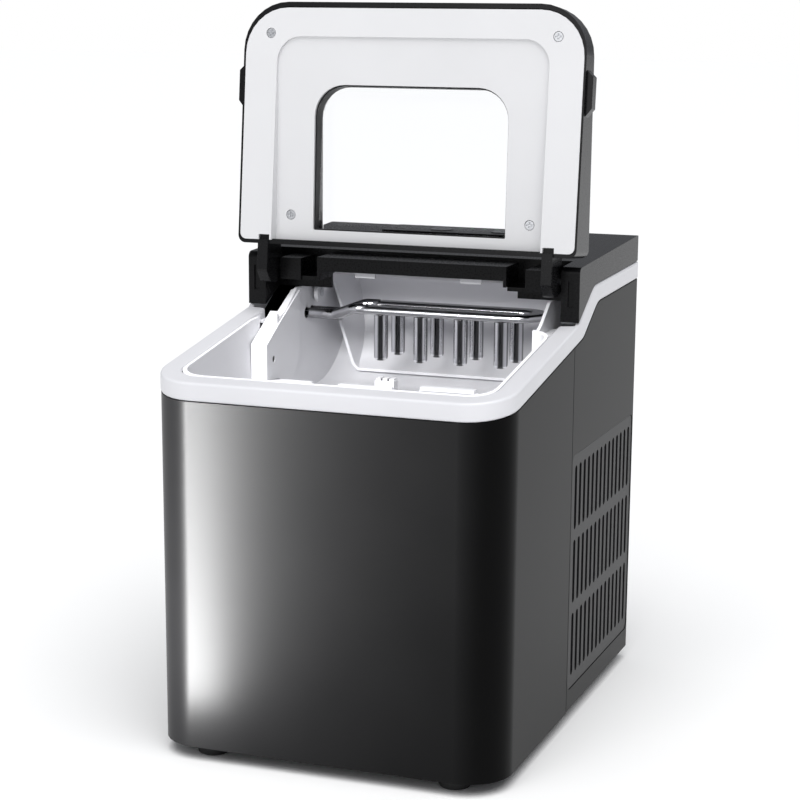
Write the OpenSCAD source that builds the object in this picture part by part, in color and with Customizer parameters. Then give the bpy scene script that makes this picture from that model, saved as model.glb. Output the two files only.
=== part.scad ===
// Countertop ice maker with a hinged window lid, modelled with the lid open.
// Origin at the centre of the footprint on the surface it stands on, front towards -Y.

/* [Body] */
// Width across the side panels
body_w = 224; // [220:1:228]
// Depth from the front face to the back
body_d = 300; // [300:1:304]
// Radius of the two front vertical corners
corner_r = 28; // [20:1:32]
// Thickness of the sheet covers
sheet = 1.5; // [1.2:0.1:1.6]
// Height of the rubber feet
foot_h = 8; // [7:0.5:9]

/* [Rim] */
// Height of the rim's top face at the front
rim_front_z = 234.9; // [234:0.1:236]
// Rise of the rim for each millimetre towards the back
rim_slope = 0.16; // [0.15:0.01:0.17]
// Height of the white band at the front
band_h = 11.4; // [10:0.2:12]

/* [Lid] */
// Height of the hinge axis
pivot_z = 285.4; // [285:0.1:286]
// Distance of the hinge axis behind the middle of the body
pivot_y = 8.4; // [8:0.1:9]
// Turn of the lid from open to closed
lid_travel = 105; // [104:0.5:106]
// Half the width of the white liner
liner_hw = 111.6; // [110:0.1:111.6]
// Length of the white liner
liner_len = 146.2; // [144:0.1:147]
// Half the width of the window
window_hw = 64.5; // [60:0.5:66]
// Top edge of the window above the liner's hinge end
window_top = 99; // [95:1:101]

/* [Ice making] */
// Diameter of a freezing finger
finger_d = 9.2; // [8:0.2:10]
// Spacing of the fingers along a row
finger_pitch = 27.5; // [26:0.5:28]
// Inner radius of the water tray about its pivot
tray_r = 58; // [57:0.5:58]
// Turn of the tray from its filling place to its tipped place
tray_travel = 100; // [98:1:100]

/* [Vents] */
// Slots in each row of a side grille
slot_count = 14; // [8:1:14]
// Width of a slot
slot_w = 5; // [3:0.5:5.5]

/* [Cooling] */
// Diameter of the compressor
compressor_d = 98; // [90:1:100]
// Diameter of the fan blades
fan_d = 104; // [96:1:105]

/* [Hidden] */

$fn = 48;
hw = body_w / 2;
hd = body_d / 2;
rear_r = 6;
seam_y = -8.4;
seam_gap = 0.3;
fit = 0.05;
rim_angle = atan(rim_slope);
rim_w = 12.5;
rim_end_y = -2;
leg_y = -0.8;
// The band's upward bend towards the back: where it starts and ends along its two edges
bend_r = 25;
low_bend_y = 11;
low_step = [44, 268.2];
low_end_z = 270.8;
top_step = [34, 279.9];
top_end_z = 282.6;
hood_front_z = 294.5;
hood_rear_z = 300.5;
lid_lean = lid_travel - 90 - rim_angle;
lid_gap = 0.4;
pivot_w = (pivot_z - rim_z(pivot_y)) * cos(rim_angle) - lid_gap;
pivot_v = 16.64;
pin_r = 3;
arm_x0 = 91.5;
arm_x1 = 98.5;
lid_hinge_w = 28.4;
lid_taper = 0.0913;
shell_hw = liner_hw + 1.4;
shell_v0 = -2.5;
shell_v1 = liner_len + 3.6;
recess_hw = 90;
recess_top = 128.5;
window_v0 = 7.5;
tray_y = 50;
tray_z = 263;
tray_wall = 2;
tray_lip = 11.5;
tray_back = 9.5;
chamber_hw = 86;
chamber_r = tray_r + 4.5;
tank_wall = 2;
grille_y0 = -5.8;
grille_y1 = 143;
grille_z0 = 22.8;
grille_z1 = 176.8;
slot_h = 41.5;
slot_y0 = 3.2;
button_x = 22;
button_y = 124;
button_r = 8;
light_x = [-13.5:9:13.5];
light_y = 138;
black = "#26272a";
dark = "#17181a";
white = "#f2f2f4";
steel = "#b9bcc0";
copper = "#b8713f";

function rim_z(y) = rim_front_z + rim_slope * (y + hd);
function band_z(y) = rim_z(y) - band_h;
function unit(v) = v / norm(v);

// Points of a round corner of radius r at b, between a and c, in two or three dimensions
function corner(a, b, c, r, n) =
    let (u = unit(a - b), v = unit(c - b), ang = acos(u * v), t = r / tan(ang / 2))
    let (o = b + unit(u + v) * r / sin(ang / 2), p = b + u * t - o, q = b + v * t - o)
    let (turn = 180 - ang)
    [for (i = [0:n]) o + (sin((1 - i / n) * turn) * p + sin(i / n * turn) * q) / sin(turn)];

// A closed outline with a radius for each corner
function outline(pts, radii, n = 8) =
    let (k = len(pts))
    [for (i = [0:k - 1]) each (radii[i] > 0
        ? corner(pts[(i + k - 1) % k], pts[i], pts[(i + 1) % k], radii[i], n)
        : [pts[i]])];

// An open route through points, with every bend rounded
function route(pts, r, n = 5) =
    let (k = len(pts))
    [for (i = [0:k - 1]) each ((i == 0 || i == k - 1)
        ? [pts[i]]
        : corner(pts[i - 1], pts[i], pts[i + 1], r, n))];

function box_pts(x0, x1, y0, y1) = [[x0, y0], [x1, y0], [x1, y1], [x0, y1]];
function round_box(x0, x1, y0, y1, r, n = 5) = outline(box_pts(x0, x1, y0, y1), [r, r, r, r], n);

// Plan of the body, moved inwards by i
function body_plan(i) = outline(box_pts(i - hw, hw - i, i - hd, hd - i),
    [corner_r - i, corner_r - i, rear_r - i, rear_r - i]);

function tangent(p, i) = unit(p[min(i + 1, len(p) - 1)] - p[max(i - 1, 0)]);
function normals(p, i = 0, last = [0.31, 0.52, 0.8]) =
    i == len(p) ? [] :
    let (t = tangent(p, i), m = unit(last - t * (last * t))) concat([m], normals(p, i + 1, m));

// A round bar or tube of diameter d swept along the points p
module swept(p, d, sides = 10) {
    m = normals(p);
    last = len(p) - 1;
    rings = [for (i = [0:last]) let (t = tangent(p, i), b = cross(t, m[i]))
        each [for (j = [0:sides - 1])
            p[i] + d / 2 * (cos(360 * j / sides) * m[i] + sin(360 * j / sides) * b)]];
    walls = [for (i = [0:last - 1], j = [0:sides - 1])
        let (a = i * sides + j, b = i * sides + (j + 1) % sides)
        each [[a, a + sides, b], [b, a + sides, b + sides]]];
    caps = [[for (j = [0:sides - 1]) j], [for (j = [sides - 1:-1:0]) last * sides + j]];
    polyhedron(rings, concat(walls, caps));
}

// A Y-Z outline drawn out along X
module along_x(pts, x0, x1) {
    translate([x0, 0, 0]) rotate([90, 0, 90]) linear_extrude(x1 - x0) polygon(pts);
}

// An X-Z outline drawn out along Y
module along_y(pts, y0, y1) {
    translate([0, y1, 0]) rotate([90, 0, 0]) linear_extrude(y1 - y0) polygon(pts);
}

module along_z(pts, z0, z1) {
    translate([0, 0, z0]) linear_extrude(z1 - z0) polygon(pts);
}

module block(x0, x1, y0, y1, z0, z1) {
    translate([x0, y0, z0]) cube([x1 - x0, y1 - y0, z1 - z0]);
}

module rod_x(x0, x1, y, z, r) {
    translate([x0, y, z]) rotate([0, 90, 0]) cylinder(h = x1 - x0, r = r);
}

module rod_y(y0, y1, x, z, r) {
    translate([x, y0, z]) rotate([-90, 0, 0]) cylinder(h = y1 - y0, r = r);
}

module rod_z(z0, z1, x, y, r) {
    translate([x, y, z0]) cylinder(h = z1 - z0, r = r);
}

module both_sides() {
    children();
    mirror([1, 0, 0]) children();
}

// Side outline of the white band
band_side = outline([[-hd - 2, band_z(-hd - 2)], [low_bend_y, band_z(low_bend_y)], low_step,
    [hd + 2, low_end_z], [hd + 2, top_end_z], top_step, [rim_end_y, rim_z(rim_end_y)],
    [-hd - 2, rim_z(-hd - 2)]], [0, bend_r, bend_r, 0, 0, bend_r, 0, 0]);

// Side outline of the cover below the band, from y0 to the back and up from z0
function under_band(y0, z0, gap) = outline([[hd + 2, z0], [y0, z0], [y0, band_z(y0) - gap],
    [low_bend_y, band_z(low_bend_y) - gap], low_step - [0, gap], [hd + 2, low_end_z - gap]],
    [0, 0, 0, bend_r, bend_r, 0]);

module body_wall(inset) {
    translate([0, 0, foot_h - 1]) linear_extrude(280) difference() {
        polygon(body_plan(inset));
        polygon(body_plan(inset + sheet));
    }
}

// ---- Casing ----

pan_z1 = foot_h + 10;

module front_cover() color(black) {
    intersection() {
        body_wall(0);
        along_x([[-hd - 1, foot_h], [seam_y, foot_h], [seam_y, band_z(seam_y)],
                 [-hd - 1, band_z(-hd - 1)]], -hw - 1, hw + 1);
    }
    // Turned-in edge at the seam
    both_sides() block(hw - 9, hw - sheet + 0.01, seam_y - 1.2, seam_y, pan_z1 + 14, 240);
}

module side_panel() {
    difference() {
        intersection() {
            body_wall(0);
            along_x(under_band(seam_y + seam_gap, foot_h + 0.8, 0.1), hw - 14, hw + 1);
        }
        along_x(round_box(grille_y0 - 0.25, grille_y1 + 0.25, grille_z0 - 0.25, grille_z1 + 0.25, 5),
            hw - 4, hw + 1);
    }
}

module right_side_panel() color(black) side_panel();

module left_side_panel() color(black) mirror([1, 0, 0]) side_panel();

module vent_grille() {
    difference() {
        along_x(round_box(grille_y0, grille_y1, grille_z0, grille_z1, 5), hw - 2.1, hw - 0.4);
        for (row = [0:2], i = [0:slot_count - 1])
            let (y = slot_y0 + i * 131 / 13, z = 31 + 48.5 * row)
            along_x(round_box(y - slot_w / 2, y + slot_w / 2, z, z + slot_h, slot_w / 2 - 0.05, 4),
                hw - 4, hw + 1);
    }
    // Flange that bears on the inside of the side panel
    difference() {
        along_x(round_box(grille_y0 - 2, grille_y1 + 2.5, grille_z0 - 4, grille_z1 + 4, 5),
            hw - 3.4, hw - 2);
        along_x(round_box(grille_y0 + 4, grille_y1 - 4, grille_z0 + 4, grille_z1 - 4, 3),
            hw - 5, hw + 1);
    }
}

module right_vent_grille() color(black) vent_grille();

module left_vent_grille() color(black) mirror([1, 0, 0]) vent_grille();

inlet_x = 36;
inlet_z = 42;
drain_x = -84;
drain_z = 34;
panel_y = hd - 3.3;
screw_x = 92;
screw_z = [18, 140, 258];

module rear_panel() color(black) difference() {
    along_y(round_box(-hw + 6, hw - 6, foot_h + 1, 270, 3), panel_y, panel_y + sheet);
    for (row = [0:1], i = [0:9])
        let (x = -54 + i * 12, z = 96 + row * 62)
        along_y(round_box(x - 2.5, x + 2.5, z, z + 50, 2.4, 4), panel_y - 1, hd + 1);
    along_y(round_box(inlet_x - 14, inlet_x + 14, inlet_z - 10, inlet_z + 10, 3),
        panel_y - 1, hd + 1);
    rod_y(panel_y - 1, hd + 1, drain_x, drain_z, 9.2);
    for (x = [-screw_x, screw_x], z = screw_z) rod_y(panel_y - 1, hd + 1, x, z, 1.7);
}

module rear_panel_screws() color(steel) for (x = [-screw_x, screw_x], z = screw_z)
    difference() {
        union() {
            rod_y(panel_y + sheet, panel_y + sheet + 1.6, x, z, 3.2);
            rod_y(panel_y - 6, panel_y + sheet + 0.1, x, z, 1.6);
        }
        block(x - 2, x + 2, panel_y + sheet + 0.8, hd + 1, z - 0.4, z + 0.4);
        block(x - 0.4, x + 0.4, panel_y + sheet + 0.8, hd + 1, z - 2, z + 2);
    }

foot_x = 79;
foot_y = 131;
comp_x = -48;
comp_y = 86;
leg_r = 54;

module base_pan() color(dark) difference() {
    union() {
        along_z(body_plan(sheet + 0.2), foot_h + 1, foot_h + 3);
        difference() {
            along_z(body_plan(sheet + 0.2), foot_h + 1, pan_z1);
            along_z(body_plan(sheet + 1.7), foot_h, pan_z1 + 1);
        }
        for (a = [45:90:315])
            rod_z(foot_h + 2, foot_h + 12, comp_x + leg_r * cos(a), comp_y + leg_r * sin(a), 2.5);
    }
    for (s = [-1, 1], t = [-1, 1]) rod_z(foot_h, foot_h + 4, s * foot_x, t * foot_y, 2.2);
    block(-hw, hw, panel_y - 0.3, hd, foot_h, pan_z1 + 1);
}

module feet() color("#101010") for (s = [-1, 1], t = [-1, 1])
    translate([s * foot_x, t * foot_y, 0]) rotate_extrude()
        polygon([[3, 2], [3, 0.6], [3.6, 0], [8.6, 0], [9.6, 0.6], [10.2, 4.6], [11.8, 5],
                 [12, 5.6], [12, foot_h + 1], [0, foot_h + 1], [0, 2]]);

module top_rim() color(white) intersection() {
    translate([0, 0, 200]) linear_extrude(100) difference() {
        polygon(body_plan(-0.3));
        polygon(outline([[-hw + rim_w, -hd + rim_w + 0.5], [hw - rim_w, -hd + rim_w + 0.5],
            [hw - rim_w, rim_end_y], [hw - 3, rim_end_y], [hw - 3, hd - 3], [-hw + 3, hd - 3],
            [-hw + 3, rim_end_y], [-hw + rim_w, rim_end_y]], [15.5, 15.5, 0, 0, 4, 4, 0, 0]));
    }
    along_x(band_side, -hw - 2, hw + 2);
}

// Side outline of the hood above the band, moved inwards by i, its foot lowered by drop
function hood_side(i, drop) = outline([[leg_y + i, rim_z(leg_y) + 1.8 - drop],
    top_step + [0, 0.3 - drop], [hd - i, top_end_z + 0.6 - drop], [hd - i, hood_rear_z - i],
    [leg_y + i, hood_front_z - i]], [0, bend_r, 0, 7 - i, 4 - i]);

hood_wall = 2.5;
pocket_y = 25;
lip_hw = 64;
leg_x = 100;

module rear_cover() color("#1b1c1e") difference() {
    union() {
        difference() {
            intersection() {
                along_x(hood_side(0, 0), -hw, hw);
                along_z(body_plan(0), 250, 305);
            }
            intersection() {
                along_x(hood_side(hood_wall, 3), -hw + hood_wall, hw - hood_wall);
                along_z(body_plan(hood_wall), 240, 305);
            }
            // Hinge pockets between the legs
            block(-leg_x, leg_x, leg_y - 1, pocket_y, 240, 305);
        }
        // Rear walls of the two hinge pockets and of the lip
        both_sides() block(lip_hw, leg_x + 0.1, pocket_y - 0.1, pocket_y + 2.4, 270, 293.8);
        block(-lip_hw - 0.1, lip_hw + 0.1, pocket_y - 0.1, pocket_y + 2.4, 289.8, 293.8);
        // Inner walls of the legs
        both_sides() along_x([[leg_y, 260.6], [pocket_y + 2, 272], [pocket_y + 2, 293],
            [leg_y, 292.5]], leg_x, leg_x + 2.5);
        // Lip over the front of the ice chamber
        block(-lip_hw, lip_hw, 0, pocket_y + 0.1, 290.5, 293);
        block(-lip_hw, lip_hw, 0, 2, 284, 293);
        both_sides() block(lip_hw - 2, lip_hw, 0, pocket_y + 0.1, 280, 293);
        // Floor of each pocket and the block that holds the inner end of the hinge pin
        both_sides() block(lip_hw - 0.1, 90.4, 3, pocket_y + 0.1, 277.5, 280);
        both_sides() block(76, 90.4, 1.5, pocket_y + 0.1, 277.5, 291.5);
    }
    both_sides() rod_x(74, leg_x + 4, pivot_y, pivot_z, pin_r + fit);
    // Slot in the front of each leg
    both_sides() block(leg_x + 4.5, hw - 4, leg_y - 1, leg_y + 1.2, 270, 286);
    control_holes();
    block(-62, 62, button_y - 16, button_y + 21, 299.1, 305);
}

// Holes for the two buttons and the four lights
module control_holes() {
    for (x = [-button_x, button_x]) rod_z(290, 305, x, button_y, button_r + 0.3);
    for (x = light_x) rod_z(290, 305, x, light_y, 1.6);
}

module control_fascia() color("#08090a") difference() {
    along_z(round_box(-61.8, 61.8, button_y - 15.8, button_y + 20.8, 4), 299.15, 300.3);
    control_holes();
}

// A round push button with a flange under the hood
module push_button(x) {
    rod_z(296, 300.9, x, button_y, button_r);
    rod_z(295.2, 296.6, x, button_y, button_r + 1.5);
}

module power_button() color("#3a3c40") difference() {
    push_button(-button_x);
    difference() {
        rod_z(300.5, 302, -button_x, button_y, 4);
        rod_z(300, 303, -button_x, button_y, 3.2);
    }
}

module select_button() color("#3a3c40") difference() {
    push_button(button_x);
    rod_z(300.5, 302, button_x, button_y, 1.6);
}

module indicator_lights() color("#7fd7a0") for (x = light_x)
    rod_z(295, 300.2, x, light_y, 1.5);

module control_board() color("#1f5a38") {
    block(-58, 58, 104, 142, 290.2, 291.6);
    for (x = [-button_x, button_x]) {
        block(x - 3, x + 3, button_y - 3, button_y + 3, 291.5, 293.2);
        rod_z(293.1, 293.8, x, button_y, 1.7);
    }
    for (x = light_x) rod_z(291.5, 294.8, x, light_y, 1.4);
    block(-50, -40, 128, 140, 291.5, 295);
    block(38, 52, 130, 138, 291.5, 294.5);
}

// ---- Ice chamber and water tank ----

bin_z0 = 48;
bin_back = -12;

// Tapered solid of the bin, larger by g than its inside, with its floor at z
module bin_solid(g, z) {
    slope_len = (bin_back - 1.4 + g + hd) / cos(rim_angle);
    hull() {
        along_z(round_box(-91 - g, 91 + g, -130 - g, bin_back - 2 + g, 14), z, z + 0.1);
        translate([0, -hd, rim_front_z]) rotate([rim_angle, 0, 0])
            translate([0, 0, -0.5 - 0.1])
            linear_extrude(0.1) polygon(round_box(-97.4 - g, 97.4 + g, 15.3 - g, slope_len, 16));
    }
}

chamber_z0 = tray_z - chamber_r;
pipe_d = 7;
pipe_y = [34.5, 43.5];
pipe_z = 251;
spout_y = 56;
spout_z = 282;
sensor_y = -22;
sensor_z = 228.5;

module inner_tank() color(white) {
    difference() {
        union() {
            bin_solid(tank_wall, bin_z0);
            // Outside of the ice chamber
            block(-chamber_hw - 2, chamber_hw + 2, bin_back - 2, tray_y, chamber_z0 - 2, 252);
            difference() {
                rod_x(-chamber_hw - 2, chamber_hw + 2, tray_y, tray_z, chamber_r + 2);
                block(-100, 100, -20, 120, tray_z, 340);
                block(-100, 100, -20, tray_y - 1, 180, 340);
            }
            block(-chamber_hw - 2, chamber_hw + 2, tray_y, tray_y + chamber_r + 2, tray_z - 8, 288);
            along_x([[bin_back - 2, 250], [bin_back - 2, 252], [0, 257.5], [18, 269.5],
                [27.6, 269.5], [27.6, 288], [tray_y + 1, 288], [tray_y + 1, 250]],
                -chamber_hw - 2, chamber_hw + 2);
            both_sides() rod_x(chamber_hw + 1, chamber_hw + 5, tray_y, tray_z, 7);
            // Shelves that close the gap beside the chamber, under the sweep of the lid's arms
            both_sides() block(chamber_hw + 1, 99.2, bin_back - 1, 24.6, 250, 252);
        }
        bin_solid(0, bin_z0 + 2);
        // Inside of the ice chamber, with a floor that curves up round the tray's swing
        block(-chamber_hw, chamber_hw, bin_back - 8, tray_y, chamber_z0, 300);
        rod_x(-chamber_hw, chamber_hw, tray_y, tray_z, chamber_r);
        block(-chamber_hw, chamber_hw, tray_y - 1, tray_y + chamber_r, tray_z, 300);
        rod_x(chamber_hw - 2, chamber_hw + 8, tray_y, tray_z, pin_r + fit);
        rod_x(-chamber_hw - 8, -chamber_hw + 2, tray_y, tray_z, pin_r + fit);
        for (y = pipe_y) rod_x(-chamber_hw - 4, -chamber_hw + 2, y, pipe_z, pipe_d / 2 + 0.3);
        rod_x(-chamber_hw - 4, -chamber_hw + 2, spout_y, spout_z, 4.2);
        rod_z(bin_z0 - 1, bin_z0 + 4, -70, -40, 4);
        rod_y(bin_back - 6, bin_back + 4, pump_x, port_z, 4);
        rod_x(92, 102, sensor_y, sensor_z, 2.15);
        // Seat of the sensor housing in the step between the bin and the chamber
        block(-96.4, -87.8, -33.2, rim_end_y + 0.2, 214.8, 262);
        block(-88, -84.8, -33.2, -14.2, 214.8, 262);
    }
    // Ledges that carry the ice basket
    both_sides() block(76, 93.6, -122, -24, 104, 110);
    // Ribbed stop between the basket and the floor of the chamber
    block(-16, -3, -20, bin_back - 0.5, 190, 219);
    block(-16, -3, -20, 4, chamber_z0 - 0.1, 204);
    for (x = [-15.5, -11, -6.5]) block(x, x + 3, -19, bin_back - 1, 218.9, 220.4);
}

module tank_insulation() color("#e9dfc4") difference() {
    along_z(outline(box_pts(-hw + 3, hw - 3, -hd + 3, bin_back - 2.5),
        [corner_r - 3, corner_r - 3, 2, 2]), 36, 198);
    bin_solid(tank_wall + 0.3, bin_z0 - 0.3);
    rod_z(30, 50, -70, -40, 5.5);
}

module chamber_ceiling() color(white) {
    block(-88, 88, 27.7, tray_y + chamber_r + 2, 288.1, 289.6);
    block(-61, 61, 3, 27.8, 288.1, 289.6);
    for (x = [-43, 29]) block(x, x + 14, 13.5, 15.5, 279, 288.2);
}

module sensor_housing() color(white) difference() {
    union() {
        along_x([[-33, 215], [rim_end_y, 215], [rim_end_y, 256.5], [-33, 239]], -96.2, -88.2);
        along_x([[-33, 215], [-14.3, 215], [-14.3, 249.6], [-33, 239]], -88.3, -85);
        along_x([[-14.4, 215], [4, 204], [21, 225], [21, 268], [-14.4, 249.5]], -85.95, -85);
        along_x([[rim_end_y - 0.1, 252.2], [21, 252.2], [21, 268], [rim_end_y - 0.1, 256.4]],
            -91.2, -88.2);
    }
    rod_x(-92, -80, sensor_y, sensor_z, 2.25);
}

module ice_sensors() color("#202020") {
    rod_x(-92, -85.6, sensor_y, sensor_z, 2.15);
    rod_x(97.6, 106, sensor_y, sensor_z, 2.05);
}

basket_z0 = 110.3;
basket_z1 = 216;

module ice_basket() color(white) {
    difference() {
        union() {
            along_z(round_box(-82.6, 82.6, -128, -24, 10), basket_z0, basket_z1);
            along_z(round_box(-84.2, 84.2, -129.5, -22.5, 11), basket_z1 - 3, basket_z1);
        }
        along_z(round_box(-80.8, 80.8, -126.2, -25.8, 8.4), basket_z0 + 2, basket_z1 + 1);
        for (i = [-5:5], row = [0:2])
            block(i * 13 - 2.5, i * 13 + 2.5, -118 + row * 32, -94 + row * 32,
                basket_z0 - 1, basket_z0 + 3);
        // Notches in the back edge
        for (x = [-48, 7, 64])
            along_y(outline([[x - 10, basket_z1 + 2], [x - 8, basket_z1 - 5],
                [x + 8, basket_z1 - 5], [x + 10, basket_z1 + 2]], [0, 2, 2, 0]), -30, -20);
    }
    // Raised pad on the back edge
    block(17, 53, -27, -21, basket_z1 - 0.1, basket_z1 + 2.2);
}

row_y = [25, 50];
row_x = [-29.1, -26.5];
bar_z = 257;

module evaporator_fingers() color(steel) for (row = [0, 1], i = [0:3])
    translate([row_x[row] + i * finger_pitch, row_y[row], 224]) rotate_extrude()
        polygon([[0, 0], [2.4, 0], [3.6, 0.5], [finger_d / 2 - 0.3, 1.3], [finger_d / 2, 2.4],
                 [finger_d / 2, 30.4], [0, 30.4]]);

module evaporator_tube() color(steel) {
    section = round_box(-6, 6, -2.6, 2.6, 2.4, 4);
    for (y = row_y) along_x([for (p = section) [y + p[0], bar_z + p[1]]], -39, 62);
    translate([62, 37.5, bar_z]) rotate([0, 0, -90]) rotate_extrude(angle = 180)
        polygon([for (p = section) [12.5 + p[0], p[1]]]);
    // Web that joins the two runs
    block(-36, 60, 30.9, 44.1, bar_z - 0.9, bar_z + 0.9);
}

pipe_end_x = -89;

module evaporator_pipes() color(steel) for (i = [0, 1])
    let (y = row_y[i] + 1 - 2 * i)
    swept(route([[-39.1, y, bar_z], [-49, y, bar_z], [-65, pipe_y[i], pipe_z],
        [pipe_end_x, pipe_y[i], pipe_z]], 9), pipe_d, 12);

function tray_plan(i) = outline([[-84 + i, tray_back + 2 - i], [-67 + i, -tray_r - 2 + i],
    [67 - i, -tray_r - 2 + i], [84 - i, tray_back + 2 - i]], [0.5, 10 - i, 10 - i, 0.5], 6);

module at_tray() translate([0, tray_y, tray_z]) rotate([tray_travel, 0, 0]) children();

module water_tray() color(white) at_tray() {
    difference() {
        intersection() {
            along_z(tray_plan(0), -tray_r - 4, -tray_lip);
            rod_x(-90, 90, 0, 0, tray_r + tray_wall);
        }
        intersection() {
            along_z(tray_plan(tray_wall), -tray_r - 4, 1);
            rod_x(-90, 90, 0, 0, tray_r);
        }
        // Notch that clears the pipes
        block(-90, -60, -23, 1, -20, 0);
    }
    // Lugs that reach up to the pivots
    both_sides() difference() {
        union() {
            block(81.6, 84.4, -1, 7, -30, -3);
            rod_x(81.6, 84.4, 0, 0, 7);
        }
        rod_x(80, 90, 0, 0, pin_r);
    }
}

module tray_shafts() color(steel) at_tray() {
    rod_x(81, 100, 0, 0, pin_r);
    rod_x(-90.5, -81, 0, 0, pin_r);
}

module tray_motor() color(steel) difference() {
    union() {
        rod_x(92, 108, tray_y, tray_z, 23);
        // Two lugs, behind and below, with pegs that stand on the tank
        for (p = [[tray_y + 28, tray_z], [tray_y, tray_z - 28]]) {
            block(91.5, 93, p[0] - 6, p[0] + 6, p[1] - 6, p[1] + 6);
            block(88.2, 91.6, p[0] - 3, p[0] + 3, p[1] - 3, p[1] + 3);
        }
    }
    rod_x(90, 101, tray_y, tray_z, pin_r + fit);
}

pump_x = -80;
pump_y = 14;
port_x = -97;
port_z = 60;

module water_pump() color("#303236") difference() {
    union() {
        rod_z(50, 74, pump_x, pump_y, 17);
        rod_z(74, 92, pump_x, pump_y, 12);
        rod_y(bin_back - 1.5, 2, pump_x, port_z, 3.8);
        rod_x(port_x, -90, pump_y, port_z, 3.8);
    }
    rod_z(53, 70, pump_x, pump_y, 14);
    rod_z(69, 86, pump_x, pump_y, 2.05);
    rod_y(bin_back - 4, 1, pump_x, port_z, 2.4);
    rod_x(port_x - 2, -92, pump_y, port_z, 2.4);
}

module pump_impeller() color("#5b8fb0") {
    rod_z(55, 57, pump_x, pump_y, 12);
    rod_z(54, 84, pump_x, pump_y, 2);
    for (a = [0:60:300])
        translate([pump_x, pump_y, 56.9]) rotate([0, 0, a]) block(1.5, 11.5, -0.6, 0.6, 0, 8);
}

hose_d = 7.4;

module water_hose() color("#c9ced2") {
    swept(route([[port_x - 0.1, pump_y, port_z], [-103.5, pump_y, port_z], [-103.5, pump_y, 96],
        [-99, 58, 150], [-98, 66, 220], [-98, spout_y, spout_z], [-72, spout_y, spout_z]], 6),
        hose_d, 10);
}

module float_stem() color("#d8d8d8") {
    rod_z(bin_z0 + 2, 96, 55, -70, 2.5);
    rod_z(bin_z0 + 2, bin_z0 + 5, 55, -70, 7);
    rod_z(94, 96, 55, -70, 5);
}

module water_float() color("#e7e7ea") difference() {
    rod_z(54, 66, 55, -70, 10);
    rod_z(50, 70, 55, -70, 3);
}

module drain_hose() color("#c9ced2") {
    swept(route([[-70, -40, bin_z0 - 0.2], [-70, -40, 24], [-104, -14, 22], [-104, 96, 22],
        [-104, 116, drain_z], [drain_x, 129, drain_z], [drain_x, 138.5, drain_z]], 8), hose_d, 10);
}

module drain_spout() color("#303236") difference() {
    union() {
        rod_y(138.6, hd - 2, drain_x, drain_z, 8);
        rod_y(panel_y - 2, panel_y, drain_x, drain_z, 11);
    }
    rod_y(139.6, hd, drain_x, drain_z, 5.05);
}

module drain_cap() color("#151515") {
    rod_y(141, hd - 1.9, drain_x, drain_z, 5);
    rod_y(hd - 2, hd - 0.2, drain_x, drain_z, 8.6);
}

// ---- Refrigeration ----

comp_r = compressor_d / 2;
comp_z0 = 24;
comp_h = 140;

module compressor_shell() color(dark) {
    difference() {
        translate([comp_x, comp_y, comp_z0]) rotate_extrude()
            polygon(outline([[0, 0], [comp_r, 0], [comp_r, comp_h], [0, comp_h]], [0, 16, 24, 0]));
        translate([comp_x, comp_y, comp_z0]) rotate_extrude()
            polygon(outline([[0, 3], [comp_r - 3, 3], [comp_r - 3, comp_h - 3], [0, comp_h - 3]],
                [0, 13, 21, 0]));
    }
    // Welded belt and mounting legs
    difference() {
        rod_z(92, 98, comp_x, comp_y, comp_r + 2);
        rod_z(91, 99, comp_x, comp_y, comp_r - 1);
    }
    for (a = [45:90:315]) translate([comp_x, comp_y, comp_z0]) rotate([0, 0, a])
        difference() {
            block(30, 62, -8, 8, 0, 3);
            translate([leg_r, 0, -1]) cylinder(h = 5, r = 4);
            cylinder(h = 8, r = comp_r - 8);
        }
}

module compressor_core() color(steel) {
    rod_z(comp_z0 + 3, comp_z0 + 30, comp_x, comp_y, 22);
    rod_z(comp_z0 + 29.9, comp_z0 + 90, comp_x, comp_y, 36);
    rod_z(comp_z0 + 89.9, comp_z0 + 112, comp_x, comp_y, 14);
}

module compressor_grommets() color("#101010") for (a = [45:90:315])
    translate([comp_x + leg_r * cos(a), comp_y + leg_r * sin(a), foot_h + 3]) rotate_extrude()
        polygon([[2.55, 0], [8, 0], [8, comp_z0 - foot_h - 3], [2.55, comp_z0 - foot_h - 3]]);

module compressor_relay() color(dark) block(1.4, 16, 70, 102, 46, 90);

cond_x = 97;
cond_z = [34, 60, 86, 112, 138];

module condenser_tube() color(copper) {
    for (z = cond_z) rod_y(12, 128, cond_x, z, 4);
    for (i = [0, 2]) translate([cond_x, 128, (cond_z[i] + cond_z[i + 1]) / 2]) rotate([0, 90, 0])
        rotate_extrude(angle = 180) translate([13, 0]) circle(4);
    for (i = [1, 3]) translate([cond_x, 12, (cond_z[i] + cond_z[i + 1]) / 2]) rotate([0, 90, 180])
        rotate_extrude(angle = 180) translate([13, 0]) circle(4);
}

module condenser_fins() color("#a9adb2") for (i = [0:16])
    translate([0, 18 + i * 6.5, 0]) difference() {
        block(86.5, 106.5, 0, 0.8, 22, 150);
        for (z = cond_z) rod_y(-1, 2, cond_x, z, 4.05);
    }

fan_y = 72;
fan_z = 88;

module fan_shroud() color(dark) {
    difference() {
        block(74, 85.5, fan_y - 60, fan_y + 60, 22, 154);
        rod_x(70, 90, fan_y, fan_z, fan_d / 2 + 3);
    }
    for (a = [45:90:315]) translate([0, fan_y, fan_z]) rotate([a, 0, 0])
        block(74, 76, 17, fan_d / 2 + 4, -3, 3);
    difference() {
        rod_x(74, 76, fan_y, fan_z, 20);
        rod_x(70, 80, fan_y, fan_z, 4);
    }
}

module fan_motor() color(steel) difference() {
    rod_x(46, 73.9, fan_y, fan_z, 18);
    rod_x(59, 80, fan_y, fan_z, 2 + fit);
}

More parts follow.
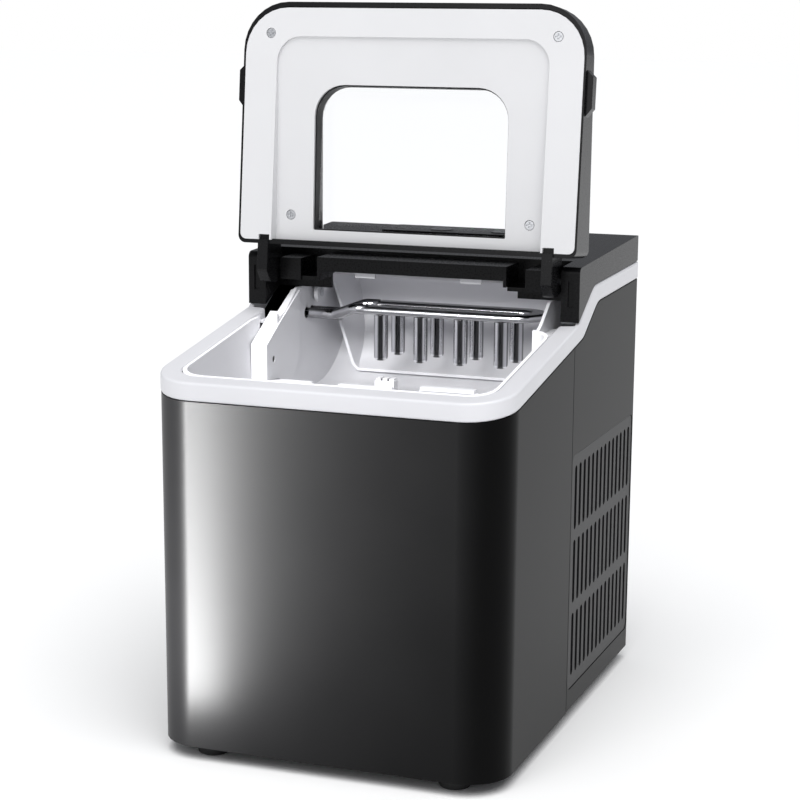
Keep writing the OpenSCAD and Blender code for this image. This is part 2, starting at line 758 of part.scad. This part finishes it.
module fan_rotor() color("#2b2b2e") {
    rod_x(76.6, 84.5, fan_y, fan_z, 14);
    rod_x(60, 77, fan_y, fan_z, 2);
    for (a = [0:60:300]) translate([77.4, fan_y, fan_z]) rotate([a, 0, 0]) fan_blade();
}

// One pitched blade, from the hub to the tip circle
module fan_blade() {
    intersection() {
        translate([3.5, 0, 12]) rotate([0, 0, 70]) block(-14, 14, -0.8, 0.8, 0, fan_d / 2);
        rod_x(-0.4, 7, 0, 0, fan_d / 2);
    }
}

module filter_drier() color(copper) translate([28, 24, 48]) rotate_extrude()
    polygon([[0, 0], [2.5, 0], [2.5, 5], [8, 12], [8, 62], [2.5, 69], [2.5, 74], [0, 74]]);

module capillary_tube() color(copper) {
    coil = [for (i = [0:48]) [10 + 13 * cos(i * 30), 22 + 13 * sin(i * 30), 132 + i * 0.45]];
    swept(concat([[28, 24, 122.1], [25, 22, 127]], coil), 2.2, 6);
}

valve_x = 24;
valve_y = 122;
valve_z1 = 176;

module hot_gas_valve() color("#8a6a3c") {
    rod_z(128, 152, valve_x, valve_y, 7);
    block(valve_x - 12, valve_x + 12, valve_y - 10, valve_y + 10, 151.9, valve_z1);
}

module suction_line() color(copper) {
    swept(route([[pipe_end_x - 0.2, pipe_y[1], pipe_z], [-97, pipe_y[1], pipe_z], [-97, 44, 190],
        [-60, 60, 178], [comp_x, comp_y, 176], [comp_x, comp_y, comp_z0 + comp_h + 0.1]], 5),
        6.2, 10);
}

module discharge_line() color(copper) {
    swept(route([[pipe_end_x - 0.2, pipe_y[0], pipe_z], [-97, pipe_y[0], pipe_z], [-97, 30, 184],
        [-20, 24, 178], [valve_x, 60, 178], [valve_x, 100, 185], [valve_x, valve_y, 185],
        [valve_x, valve_y, valve_z1 + 0.1]], 5), 5, 8);
    swept(route([[valve_x, valve_y, 127.9], [valve_x, valve_y, 112], [10, 112, 108],
        [-2.8, 106.3, 108]], 5), 5, 8);
}

module power_inlet() color("#0c0c0c") difference() {
    union() {
        along_y(round_box(inlet_x - 17, inlet_x + 17, inlet_z - 13, inlet_z + 13, 3),
            panel_y + sheet, hd - 0.2);
        along_y(round_box(inlet_x - 13.7, inlet_x + 13.7, inlet_z - 9.7, inlet_z + 9.7, 3),
            122, panel_y + sheet + 0.1);
    }
    difference() {
        along_y(outline([[inlet_x - 12, inlet_z - 8], [inlet_x + 12, inlet_z - 8],
            [inlet_x + 12, inlet_z + 3], [inlet_x + 7, inlet_z + 8], [inlet_x - 7, inlet_z + 8],
            [inlet_x - 12, inlet_z + 3]], [2, 2, 1, 1, 1, 1], 3), 132, hd + 1);
        for (p = [[-7, -2], [0, 2], [7, -2]])
            block(inlet_x + p[0] - 1, inlet_x + p[0] + 1, 130, hd - 3,
                inlet_z + p[1] - 2, inlet_z + p[1] + 2);
    }
}

// ---- Lid: X across, Y from the liner's face to the outside, Z from the hinge to the free end ----

module at_lid() translate([0, pivot_y, pivot_z]) rotate([-lid_lean, 0, 0])
    translate([0, -pivot_w, pivot_v]) children();

function outer_w(v) = lid_hinge_w - lid_taper * v;
function lid_plan(g) = outline([[-shell_hw + g, shell_v0 + g], [shell_hw - g, shell_v0 + g],
    [shell_hw - g, shell_v1 - g], [g - shell_hw, shell_v1 - g]], [5, 5, 30 - g, 30 - g]);
function liner_plan(g) = outline([[-liner_hw - g, -g], [liner_hw + g, -g],
    [liner_hw + g, liner_len + g], [-liner_hw - g, liner_len + g]], [4, 4, 28.4, 28.4]);
function window_plan(g) = outline([[-window_hw - g, window_v0 - g], [window_hw + g, window_v0 - g],
    [window_hw + g, window_top + g], [-window_hw - g, window_top + g]],
    [0.8, 0.8, 20 + g, 20 + g]);

// Side outline between the liner's face and i under the outer face
function lid_side(i, w0) = [[w0, -10], [outer_w(-10) - i, -10], [outer_w(160) - i, 160], [w0, 160]];
function recess_w(v) = 8.5 - 7 / recess_top * v;

// Side outline of an arm, from the liner's hinge end to the hinge axis
function arm_side() = outline([[0.5, 3], [-1.4, 1], [-1.4, -20], [5, -27], [14, -27],
    [pivot_w - 2, -pivot_v - 6.5], [pivot_w + 6.5, -pivot_v], [20, -6], [20, 3]],
    [0, 1.5, 3, 4, 4, 6, 6, 3, 0], 4);

// Places of the lid's screws, the last value 1 where they stand in the recess
screw_at = [[-94.7, 130.3, 0], [94.7, 130.3, 0], [-80, 16.5, 1], [80, 16.5, 1]];
function head_w(s) = 0.2 + s[2] * recess_w(s[1]);

module lid_shell() color("#1b1c1e") at_lid() difference() {
    union() {
        difference() {
            intersection() {
                along_y(lid_plan(0), -1, 40);
                along_x(lid_side(0, 0), -120, 120);
            }
            intersection() {
                along_y(lid_plan(3), -2, 40);
                along_x(lid_side(3, -2), -120, 120);
            }
            along_y(liner_plan(0.15), -2, 2.2);
        }
        // Finger tabs on both sides
        both_sides() along_y([[shell_hw - 1, 83], [shell_hw, 83], [shell_hw + 4, 88],
            [shell_hw + 4, 107], [shell_hw, 111], [shell_hw - 1, 111]], 3, 11);
        both_sides() along_x(arm_side(), arm_x0, arm_x1);
        for (s = screw_at) rod_y(s[2] > 0 ? 9.8 : 2.2, outer_w(s[1]) - 2, s[0], s[1], 4);
    }
    along_y(window_plan(2.4), 5, 40);
    both_sides() rod_x(arm_x0 - 3, arm_x1 + 3, pivot_w, -pivot_v, pin_r);
    for (s = screw_at) rod_y(-1, outer_w(s[1]) - 5, s[0], s[1], 1.5);
    both_sides() along_x([[-3, 0], [2.2, 0], [2.2, 4], [-3, 4]], arm_x0 - 0.2, arm_x1 + 0.2);
}

module lid_liner() color(white) at_lid() difference() {
    union() {
        along_y(liner_plan(0), 0, 2);
        intersection() {
            along_y(outline([[-recess_hw - 1.4, 0.6], [recess_hw + 1.4, 0.6],
                [recess_hw + 1.4, recess_top + 1.4], [-recess_hw - 1.4, recess_top + 1.4]],
                [0, 0, 17.4, 17.4]), 0.1, 14);
            along_x([[0, 0], [recess_w(0) + 2, 0], [recess_w(140) + 2, 140], [0, 140]], -100, 100);
        }
    }
    intersection() {
        along_y(outline([[-recess_hw, -1], [recess_hw, -1], [recess_hw, recess_top],
            [-recess_hw, recess_top]], [0, 0, 16, 16]), -1, 14);
        along_x([[-2, -2], [recess_w(-2), -2], [recess_w(140), 140], [-2, 140]], -100, 100);
    }
    along_y(window_plan(0), -1, 20);
    for (s = screw_at) {
        rod_y(-1, 14, s[0], s[1], 1.8);
        rod_y(-1, head_w(s) + 1.3, s[0], s[1], 3.2);
    }
    both_sides() block(arm_x0 - 0.2, arm_x1 + 0.2, -2, 2.4, -1, 3.3);
}

module window_gasket() color(dark) at_lid() difference() {
    intersection() {
        along_y(window_plan(2.2), 0, 16);
        along_x([[recess_w(-4) + 2.1, -4], [16, -4], [15, 110], [recess_w(110) + 2.1, 110]],
            -80, 80);
    }
    along_y(window_plan(-0.8), -1, 20);
}

module lid_window() color([0.85, 0.9, 0.95, 0.35]) at_lid() difference() {
    intersection() {
        along_y(window_plan(2.2), 10, 40);
        along_x([[16.1, -4], [outer_w(-4), -4], [outer_w(110), 110], [15.1, 110]], -80, 80);
    }
    intersection() {
        along_y(window_plan(0), 0, 40);
        along_x(lid_side(2.5, -2), -80, 80);
    }
}

module lid_screws() color(steel) at_lid() for (s = screw_at)
    let (w = head_w(s)) difference() {
        union() {
            rod_y(w, w + 1.2, s[0], s[1], 2.9);
            rod_y(w + 1.1, w + 9, s[0], s[1], 1.45);
        }
        block(s[0] - 1.8, s[0] + 1.8, w - 1, w + 0.8, s[1] - 0.4, s[1] + 0.4);
        block(s[0] - 0.4, s[0] + 0.4, w - 1, w + 0.8, s[1] - 1.8, s[1] + 1.8);
    }

module hinge_pins() color(steel) at_lid() both_sides()
    rod_x(80, leg_x + 3, pivot_w, -pivot_v, pin_r);

front_cover();
left_side_panel();
right_side_panel();
left_vent_grille();
right_vent_grille();
rear_panel();
rear_panel_screws();
base_pan();
feet();
top_rim();
rear_cover();
control_fascia();
power_button();
select_button();
indicator_lights();
control_board();
chamber_ceiling();
inner_tank();
tank_insulation();
sensor_housing();
ice_sensors();
ice_basket();
evaporator_tube();
evaporator_fingers();
evaporator_pipes();
water_tray();
tray_shafts();
tray_motor();
water_pump();
pump_impeller();
water_hose();
float_stem();
water_float();
drain_hose();
drain_spout();
drain_cap();
compressor_shell();
compressor_core();
compressor_grommets();
compressor_relay();
condenser_tube();
condenser_fins();
fan_shroud();
fan_motor();
fan_rotor();
filter_drier();
capillary_tube();
hot_gas_valve();
suction_line();
discharge_line();
power_inlet();
lid_shell();
lid_liner();
lid_window();
window_gasket();
lid_screws();
hinge_pins();
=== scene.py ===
import math
import bpy
from mathutils import Matrix, Vector

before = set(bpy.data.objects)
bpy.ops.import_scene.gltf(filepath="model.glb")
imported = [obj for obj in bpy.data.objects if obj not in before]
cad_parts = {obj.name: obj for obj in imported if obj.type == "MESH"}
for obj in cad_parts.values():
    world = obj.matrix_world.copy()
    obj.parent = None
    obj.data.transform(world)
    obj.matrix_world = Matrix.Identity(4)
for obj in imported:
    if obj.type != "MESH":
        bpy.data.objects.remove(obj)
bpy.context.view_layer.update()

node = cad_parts

# ---- Studio ----
# A pale floor, a white surround, a broad soft sun and a low fill from the front. One narrow strip
# by the left front corner lights only the front cover, and one lamp lights only the open bin.

bpy.context.scene.view_settings.view_transform = "Standard"


def material(name):
    m = bpy.data.materials.new(name)
    m.use_nodes = True
    nodes = m.node_tree.nodes
    return m, nodes, m.node_tree.links, nodes["Principled BSDF"]


def soft_light(name, place, aim, width, height, watts):
    lamp = bpy.data.lights.new(name, "AREA")
    lamp.shape = "RECTANGLE"
    lamp.size, lamp.size_y, lamp.energy = width, height, watts
    held = bpy.data.objects.new(name, lamp)
    held.location = place
    held.rotation_euler = (Vector(aim) - Vector(place)).to_track_quat("-Z", "Y").to_euler()
    held.visible_camera = False
    bpy.context.scene.collection.objects.link(held)
    return held


world = bpy.data.worlds.new("white_surround")
bpy.context.scene.world = world
world.use_nodes = True
wn, wl = world.node_tree.nodes, world.node_tree.links
seen, lit, path, mix = (wn.new("ShaderNodeBackground"), wn["Background"],
                        wn.new("ShaderNodeLightPath"), wn.new("ShaderNodeMixShader"))
seen.inputs["Color"].default_value = (1, 1, 1, 1)
lit.inputs["Color"].default_value = (0.92, 0.94, 1, 1)
lit.inputs["Strength"].default_value = 0.3
wl.new(path.outputs["Is Camera Ray"], mix.inputs[0])
wl.new(lit.outputs[0], mix.inputs[1])
wl.new(seen.outputs[0], mix.inputs[2])
wl.new(mix.outputs[0], wn["World Output"].inputs["Surface"])

bpy.ops.mesh.primitive_plane_add(size=30, location=(0, 0, -0.0004))
floor = bpy.context.object
floor.name = "floor"
pale, fn, fl, shade = material("pale_floor")
shade.inputs["Base Color"].default_value = (0.97, 0.97, 0.965, 1)
shade.inputs["Roughness"].default_value = 0.7
shade.inputs["Specular IOR Level"].default_value = 0.1
floor.data.materials.append(pale)

day = bpy.data.lights.new("high_soft_sun", "SUN")
day.energy, day.angle = 2.8, math.radians(60)
day_held = bpy.data.objects.new("high_soft_sun", day)
day_held.rotation_euler = Vector((-0.22, 0.42, -1)).to_track_quat("-Z", "Y").to_euler()
bpy.context.scene.collection.objects.link(day_held)


def lights_only(lamp, names):
    """Keeps a lamp's light to the named pieces."""
    kept = bpy.data.collections.new(lamp.name + "_lights")
    for name in names:
        kept.objects.link(node[name])
    lamp.light_linking.receiver_collection = kept


strip = soft_light("left_strip", (0, 0, 0), (0, 0, -1), 0.040, 0.48, 17.5)
foot, top = Vector((-0.122, -0.2206, 0.006)), Vector((-0.254, -0.4546, 0.41))
up = (top - foot).normalized()
middle = (foot + top) / 2
corner = Vector((-0.085, -0.15, 0.2))
back = middle - corner
back = (back - up * back.dot(up)).normalized()
facing_corner = Matrix((up.cross(back), up, back)).transposed().to_4x4()
strip.matrix_world = Matrix.Translation(middle) @ facing_corner
lights_only(strip, ["front_cover"])
inside = soft_light("into_the_bin", (0.0, -1.6, 0.95), (0, 0.05, 0.23), 0.9, 0.5, 36)
lights_only(inside, ["inner_tank", "water_tray", "ice_basket", "chamber_ceiling",
                     "sensor_housing", "evaporator_fingers", "evaporator_tube",
                     "evaporator_pipes"])
soft_light("front_fill", (-0.3, -2.2, 1.0), (0, -0.05, 0.35), 1.2, 1.2, 7)

lens = bpy.data.cameras.new("camera")
camera = bpy.data.objects.new("camera", lens)
bpy.context.scene.collection.objects.link(camera)
bpy.context.scene.camera = camera
lens.lens, lens.sensor_width = 92.99, 36
lens.shift_x, lens.shift_y = -0.0087, 0.0875
lens.clip_start, lens.clip_end = 0.05, 60
eye = Vector((0.452, -1.2268, 0.4552))
aim = Vector((-0.001, -0.0003, 0.1576))
lean = Matrix.Rotation(math.radians(0.39), 4, "Z")
camera.matrix_world = (Matrix.Translation(eye)
                       @ (aim - eye).to_track_quat("-Z", "Y").to_matrix().to_4x4() @ lean)

# ---- Painted sheet covers ----
# The front cover is one pressed sheet wrapped round both front corners, and the two side panels
# and the back are flat pressings. All are steel with a satin black coat, faintly mottled.


def mottle(nodes, links, scale, detail=3.0, stretch=(1, 1, 1)):
    """A soft noise in the object's own space, in cycles for each metre."""
    space = nodes.new("ShaderNodeTexCoord")
    sized = nodes.new("ShaderNodeMapping")
    sized.inputs["Scale"].default_value = stretch
    noise = nodes.new("ShaderNodeTexNoise")
    noise.inputs["Scale"].default_value = scale
    noise.inputs["Detail"].default_value = detail
    links.new(space.outputs["Object"], sized.inputs["Vector"])
    links.new(sized.outputs["Vector"], noise.inputs["Vector"])
    return noise.outputs["Fac"]


def between(nodes, links, value, a, b):
    """Maps the middle of a noise to run from a to b."""
    span = nodes.new("ShaderNodeMapRange")
    span.inputs["From Min"].default_value, span.inputs["From Max"].default_value = 0.3, 0.7
    span.inputs["To Min"].default_value, span.inputs["To Max"].default_value = a, b
    links.new(value, span.inputs["Value"])
    return span.outputs["Result"]


def tint(nodes, links, value, a, b):
    """Mixes two colours by a noise."""
    ramp = nodes.new("ShaderNodeValToRGB")
    ramp.color_ramp.elements[0].position, ramp.color_ramp.elements[1].position = 0.3, 0.7
    ramp.color_ramp.elements[0].color = (*a, 1)
    ramp.color_ramp.elements[1].color = (*b, 1)
    links.new(value, ramp.inputs["Fac"])
    return ramp.outputs["Color"]


def relief(nodes, links, shader, value, depth):
    """Raises the surface by a noise, by about depth metres."""
    bump = nodes.new("ShaderNodeBump")
    bump.inputs["Distance"].default_value = depth
    bump.inputs["Strength"].default_value = 1
    links.new(value, bump.inputs["Height"])
    links.new(bump.outputs["Normal"], shader.inputs["Normal"])


def coated(name, dark, light, rough, grain, depth, specular=0.5):
    """A plastic or painted finish: two close tones, uneven gloss and a fine skin."""
    m, nodes, links, shader = material(name)
    cloud = mottle(nodes, links, 14)
    skin = mottle(nodes, links, grain, 2)
    links.new(tint(nodes, links, cloud, dark, light), shader.inputs["Base Color"])
    links.new(between(nodes, links, skin, rough * 0.9, rough * 1.12), shader.inputs["Roughness"])
    relief(nodes, links, shader, skin, depth)
    shader.inputs["Specular IOR Level"].default_value = specular
    return m


mm = 0.001
crisp_angle = math.radians(35)
flat_angle = math.radians(0.6)
weld_gap = 2e-6


def dress(name, finish, edge=0.0, steps=2):
    """Gives a CAD piece its finish and, where edge is more than 0, rounds its sharp edges."""
    piece = node[name]
    piece.data.materials.clear()
    piece.data.materials.append(finish)
    weld = piece.modifiers.new("weld", "WELD")
    weld.merge_threshold = weld_gap
    if edge:
        planes = piece.modifiers.new("planes", "DECIMATE")
        planes.decimate_type = "DISSOLVE"
        planes.angle_limit = flat_angle
        rounding = piece.modifiers.new("rounding", "BEVEL")
        rounding.width, rounding.segments = edge, steps
        rounding.limit_method, rounding.angle_limit = "ANGLE", crisp_angle
        rounding.miter_outer = "MITER_ARC"
        even = piece.modifiers.new("even", "WEIGHTED_NORMAL")
        even.weight, even.keep_sharp = 100, True
    for face in piece.data.polygons:
        face.use_smooth = True
    if "sharp_edge" in piece.data.attributes:
        piece.data.attributes.remove(piece.data.attributes["sharp_edge"])
    piece.data.set_sharp_from_angle(angle=crisp_angle)


satin_black = coated("satin_black_coat", (0.0017, 0.0017, 0.0018), (0.0022, 0.0022, 0.0023),
                     0.31, 1500, 6e-6, 0.055)
for name in ("front_cover", "left_side_panel", "right_side_panel", "rear_panel", "base_pan"):
    dress(name, satin_black, 0.35 * mm)

# ---- Side grilles ----
# Each is a moulded black plastic panel with three rows of upright slots. It fills an opening in
# the side panel.

grained_black = coated("grained_black_plastic", (0.008, 0.008, 0.009), (0.011, 0.011, 0.012),
                       0.42, 2600, 1.2e-5, 0.25)
for name in ("left_vent_grille", "right_vent_grille"):
    dress(name, grained_black, 0.3 * mm)

# ---- White rim, tank and chamber ----
# The rim, the tank, the chamber's ceiling, the tray, the basket and the sensor housing are
# moulded in the same white plastic, which is satin, slightly cool and faintly marked by flow.

white = coated("white_plastic", (0.70, 0.70, 0.725), (0.735, 0.735, 0.76), 0.34, 1900, 5e-6, 0.4)
for name, edge in (("top_rim", 1.6), ("inner_tank", 0.5), ("chamber_ceiling", 0.3),
                   ("sensor_housing", 0.8), ("ice_basket", 0.5), ("water_tray", 0.6),
                   ("water_float", 0.6), ("float_stem", 0.3)):
    dress(name, white, edge * mm)

# ---- Hood and control strip ----
# The hood over the back is a gloss black moulding with two legs that carry the lid's hinge.
# The control strip is a thin polished panel let into its top, round two keys and four lights.

gloss_black = coated("gloss_black_plastic", (0.004, 0.004, 0.0045), (0.006, 0.006, 0.0065),
                     0.28, 900, 2e-6, 0.13)
dress("rear_cover", gloss_black, 1.2 * mm, steps=3)
dress("control_fascia", gloss_black, 0.3 * mm)
key_grey = coated("key_grey_plastic", (0.045, 0.047, 0.05), (0.055, 0.057, 0.06), 0.3, 1800, 5e-6)
for name in ("power_button", "select_button"):
    dress(name, key_grey, 0.4 * mm)
lens_green = coated("light_lens", (0.30, 0.62, 0.40), (0.36, 0.70, 0.46), 0.2, 900, 2e-6)
dress("indicator_lights", lens_green, 0.2 * mm)

# ---- Lid ----
# A gloss black outer shell with two hinge arms, a white inner panel held by four screws, and a
# clear tub window with a black sleeve round its opening.

lid_black = coated("lid_black_plastic", (0.004, 0.004, 0.0045), (0.006, 0.006, 0.0065),
                   0.26, 1400, 4e-6, 0.22)
dress("lid_shell", lid_black, 1.2 * mm, steps=3)
dress("window_gasket", grained_black, 0.3 * mm)
liner_white = coated("liner_white", (0.72, 0.72, 0.73), (0.75, 0.75, 0.76), 0.38, 1700, 5e-6, 0.35)
dress("lid_liner", liner_white, 0.8 * mm)

clear, nodes, links, shader = material("clear_window")
shader.inputs["Base Color"].default_value = (0.985, 0.99, 0.995, 1)
shader.inputs["Transmission Weight"].default_value = 1
shader.inputs["IOR"].default_value = 1.22
links.new(between(nodes, links, mottle(nodes, links, 60), 0.015, 0.04), shader.inputs["Roughness"])
dress("lid_window", clear, 0.3 * mm)

# ---- Bright metal ----
# The fingers, the bar above them and the pipes are nickel-plated copper. Their tone holds painted
# reflections: bright and dark bands set by which way each surface faces. Screws, pins and motor
# cans are zinc-plated steel with a fine drawn grain.


def metal(name, tone, rough, grain, depth):
    """Plated or drawn metal, with a fine grain in its tone and its gloss."""
    m, nodes, links, shader = material(name)
    drawn = mottle(nodes, links, grain)
    dull = tuple(c * 0.86 for c in tone)
    links.new(tint(nodes, links, drawn, dull, tone), shader.inputs["Base Color"])
    links.new(between(nodes, links, drawn, rough * 0.8, rough * 1.3), shader.inputs["Roughness"])
    relief(nodes, links, shader, drawn, depth)
    shader.inputs["Metallic"].default_value = 1
    return m


def painted_reflection_metal(name, across, stops):
    """Metal with painted reflections: its tone runs in bright and dark bands with the way the
    surface faces along across.
    """
    m, nodes, links, shader = material(name)
    facing = nodes.new("ShaderNodeTexCoord")
    along = nodes.new("ShaderNodeVectorMath")
    along.operation = "DOT_PRODUCT"
    along.inputs[1].default_value = across
    links.new(facing.outputs["Normal"], along.inputs[0])
    span = nodes.new("ShaderNodeMapRange")
    span.inputs["From Min"].default_value = -1
    links.new(along.outputs["Value"], span.inputs["Value"])
    ramp = nodes.new("ShaderNodeValToRGB")
    for place, tone in stops:
        ends = {0.0: 0, 1.0: -1}
        stop = (ramp.color_ramp.elements[ends[place]] if place in ends
                else ramp.color_ramp.elements.new(place))
        stop.color = (tone, tone, tone * 1.02, 1)
    links.new(span.outputs["Result"], ramp.inputs["Fac"])
    links.new(ramp.outputs["Color"], shader.inputs["Base Color"])
    drawn = mottle(nodes, links, 240, 3, (1, 1, 0.1))
    links.new(between(nodes, links, drawn, 0.10, 0.17), shader.inputs["Roughness"])
    relief(nodes, links, shader, drawn, 1.5e-6)
    shader.inputs["Metallic"].default_value = 1
    return m


# Painted reflections: each stop is a tone by facing, bright where a light would mirror in the metal
# and dark where shade would.
finger_painted_reflections = ((0.0, 0.3), (0.08, 0.95), (0.22, 0.95), (0.28, 0.4), (0.34, 0.07),
                (0.6, 0.1), (0.68, 0.8), (0.84, 0.95), (0.92, 0.3), (1.0, 0.1))
bar_painted_reflections = ((0.0, 0.3), (0.35, 0.5), (0.5, 0.85), (0.68, 0.95), (0.8, 0.25),
             (0.93, 0.05), (1.0, 0.05))
# The fingers', bar's and pipes' tone here is painted reflection, not the metal's own colour.
upright = painted_reflection_metal("fingers_with_painted_reflections", (0.94, 0.34, 0), finger_painted_reflections)
level = painted_reflection_metal("bar_with_painted_reflections", (0, 0, 1), bar_painted_reflections)
dress("evaporator_fingers", upright, 0.25 * mm)
dress("evaporator_tube", level, 0.4 * mm)
dress("evaporator_pipes", level)
zinc = metal("zinc_plated_steel", (0.62, 0.63, 0.65), 0.3, 900, 5e-6)
for name in ("lid_screws", "hinge_pins", "rear_panel_screws", "tray_shafts", "tray_motor",
             "fan_motor", "compressor_core"):
    dress(name, zinc, 0.15 * mm)

# ---- Rubber feet and drain plug ----
# Soft black rubber, matte and slightly dusty. The feet stand under the base pan, the plug
# closes the drain, and four bushes carry the compressor.

rubber = coated("black_rubber", (0.014, 0.014, 0.014), (0.022, 0.022, 0.022),
                0.72, 3200, 1.5e-5, 0.3)
for name in ("feet", "drain_cap", "compressor_grommets"):
    dress(name, rubber, 0.4 * mm)

# ---- Cooling machinery ----
# The parts behind the grilles: a painted compressor, copper pipes, thin aluminium fins, and the
# fan, pump and board in plain black, blue and green plastic.

paint = coated("compressor_paint", (0.010, 0.010, 0.011), (0.015, 0.015, 0.016), 0.3, 1200, 8e-6)
copper = metal("drawn_copper", (0.72, 0.38, 0.24), 0.28, 400, 6e-6)
fins = metal("bare_aluminium", (0.66, 0.67, 0.69), 0.4, 600, 8e-6)
dull_black = coated("dull_black_plastic", (0.016, 0.016, 0.017), (0.024, 0.024, 0.025),
                    0.5, 2200, 1e-5)
blue = coated("pump_blue_plastic", (0.06, 0.16, 0.26), (0.08, 0.20, 0.31), 0.4, 1800, 6e-6)
green = coated("board_green", (0.012, 0.085, 0.035), (0.018, 0.11, 0.045), 0.35, 2400, 6e-6)
milky = coated("milky_hose", (0.62, 0.65, 0.67), (0.68, 0.71, 0.73), 0.3, 1400, 4e-6)
cream = coated("cream_foam", (0.62, 0.56, 0.42), (0.70, 0.64, 0.50), 0.85, 1100, 6e-5, 0.1)
for name, finish, edge in (
        ("compressor_shell", paint, 0.5), ("compressor_relay", dull_black, 0.8),
        ("condenser_tube", copper, 0), ("condenser_fins", fins, 0), ("filter_drier", copper, 0),
        ("capillary_tube", copper, 0), ("hot_gas_valve", copper, 0.6),
        ("suction_line", copper, 0), ("discharge_line", copper, 0),
        ("fan_shroud", dull_black, 0.6), ("fan_rotor", dull_black, 0.3),
        ("water_pump", dull_black, 0.5), ("pump_impeller", blue, 0.2), ("control_board", green, 0.2),
        ("water_hose", milky, 0), ("drain_hose", milky, 0), ("tank_insulation", cream, 1.0),
        ("drain_spout", dull_black, 0.3), ("power_inlet", dull_black, 0.4),
        ("ice_sensors", dull_black, 0.2)):
    dress(name, finish, edge * mm)
